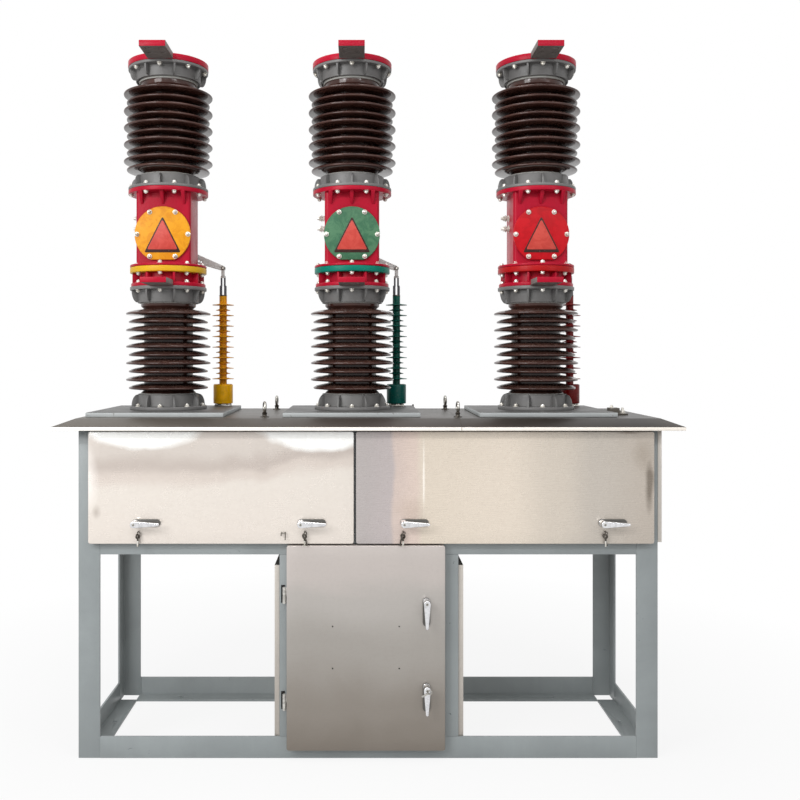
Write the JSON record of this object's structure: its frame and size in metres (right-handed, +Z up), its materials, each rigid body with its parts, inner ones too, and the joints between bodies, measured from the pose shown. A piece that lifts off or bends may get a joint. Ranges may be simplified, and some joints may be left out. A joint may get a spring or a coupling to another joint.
{
  "type": "outdoor vacuum circuit breaker",
  "caption": "Outdoor three-pole high-voltage breaker: ribbed porcelain columns with red housings on a sheet-steel mechanism box, control cabinet and angle-steel frame.",
  "frame": {"origin": "middle of the frame's footprint, on the ground", "axes": "+X along the row of poles, +Y to the rear, away from the doors, +Z up"},
  "size_m": [2.17, 0.7453, 2.511],
  "materials": {
    "frame_paint": "blue-grey enamel on angle steel, satin",
    "stainless_panel": "thin stainless sheet, faintly wavy, smudged",
    "stainless_roof": "stainless sheet, dull",
    "plate_steel": "thick plate, pale grey paint",
    "cast_grey": "dark grey paint on castings",
    "porcelain_brown": "dark brown glazed porcelain",
    "housing_red": "glossy red paint on castings",
    "phase_yellow": "yellow paint",
    "phase_green": "green paint",
    "phase_red": "red paint",
    "rubber_yellow": "amber yellow silicone rubber",
    "rubber_green": "dark green silicone rubber",
    "rubber_red": "dark red silicone rubber",
    "sleeve_black": "black sleeve",
    "zinc": "bright zinc plate",
    "chrome": "chrome plate"
  },
  "bodies": {
    "frame": {"corner_legs": "frame_paint", "bottom_rails": "frame_paint", "shelf_rails": "frame_paint", "roof_rails": "frame_paint", "cabinet_posts": "frame_paint", "box_mullions": "frame_paint", "box_floor": "stainless_panel", "side_panels": "stainless_panel", "rear_panels": "stainless_panel", "cabinet_body": "stainless_panel", "drive_duct": "stainless_panel", "roof": "stainless_roof", "mounting_plates": "plate_steel", "lifting_eyes": "zinc", "fixed_hinges": "zinc", "link_studs": "zinc", "insulator_bases": "zinc", "earth_lug": "cast_grey", "link_forks": "sleeve_black", "left_castings": "cast_grey", "left_lower_insulator": "porcelain_brown", "left_upper_insulator": "porcelain_brown", "left_housing": "housing_red", "left_lower_terminal": "housing_red", "left_terminal_cap": "housing_red", "left_phase_ring": "phase_yellow", "left_front_cover": "phase_yellow", "left_side_insulator": "rubber_yellow", "left_link_bar": "zinc", "middle_castings": "cast_grey", "middle_lower_insulator": "porcelain_brown", "middle_upper_insulator": "porcelain_brown", "middle_housing": "housing_red", "middle_lower_terminal": "housing_red", "middle_terminal_cap": "housing_red", "middle_phase_ring": "phase_green", "middle_front_cover": "phase_green", "middle_side_insulator": "rubber_green", "middle_link_bar": "zinc", "right_castings": "cast_grey", "right_lower_insulator": "porcelain_brown", "right_upper_insulator": "porcelain_brown", "right_housing": "housing_red", "right_lower_terminal": "housing_red", "right_terminal_cap": "housing_red", "right_phase_ring": "phase_red", "right_front_cover": "phase_red", "right_side_insulator": "rubber_red", "right_link_bar": "zinc"},
    "left_flap": {"left_flap": "stainless_panel"},
    "right_flap": {"right_flap": "stainless_panel"},
    "cabinet_door": {"cabinet_door": "stainless_panel"},
    "lever_1": {"lever_1": "chrome"},
    "lever_2": {"lever_2": "chrome"},
    "lever_3": {"lever_3": "chrome"},
    "lever_4": {"lever_4": "chrome"},
    "lever_5": {"lever_5": "chrome"},
    "lever_6": {"lever_6": "chrome"}
  },
  "joints": [
    {"name": "left_flap_hinge", "type": "hinge", "parent": "frame", "child": "left_flap", "pos_m": [-0.509, -0.3101, 1.148], "axis": [-1, 0, 0], "range_deg": [0, 60]},
    {"name": "right_flap_hinge", "type": "hinge", "parent": "frame", "child": "right_flap", "pos_m": [0.4735, -0.3101, 1.148], "axis": [-1, 0, 0], "range_deg": [0, 60]},
    {"name": "cabinet_door_hinge", "type": "hinge", "parent": "frame", "child": "cabinet_door", "pos_m": [-0.2905, -0.3218, 0.388], "axis": [0, 0, -1], "range_deg": [0, 110]},
    {"name": "lever_1_turn", "type": "hinge", "parent": "left_flap", "child": "lever_1", "pos_m": [-0.802, -0.33, 0.826], "axis": [0, -1, 0], "range_deg": [0, 90]},
    {"name": "lever_2_turn", "type": "hinge", "parent": "left_flap", "child": "lever_2", "pos_m": [-0.231, -0.33, 0.826], "axis": [0, -1, 0], "range_deg": [0, 90]},
    {"name": "lever_3_turn", "type": "hinge", "parent": "right_flap", "child": "lever_3", "pos_m": [0.124, -0.33, 0.826], "axis": [0, -1, 0], "range_deg": [0, 90]},
    {"name": "lever_4_turn", "type": "hinge", "parent": "right_flap", "child": "lever_4", "pos_m": [0.808, -0.33, 0.826], "axis": [0, -1, 0], "range_deg": [0, 90]},
    {"name": "lever_5_turn", "type": "hinge", "parent": "cabinet_door", "child": "lever_5", "pos_m": [0.201, -0.333, 0.261], "axis": [0, 1, 0], "range_deg": [0, 90]},
    {"name": "lever_6_turn", "type": "hinge", "parent": "cabinet_door", "child": "lever_6", "pos_m": [0.201, -0.333, 0.555], "axis": [0, 1, 0], "range_deg": [0, 90]}
  ]
}
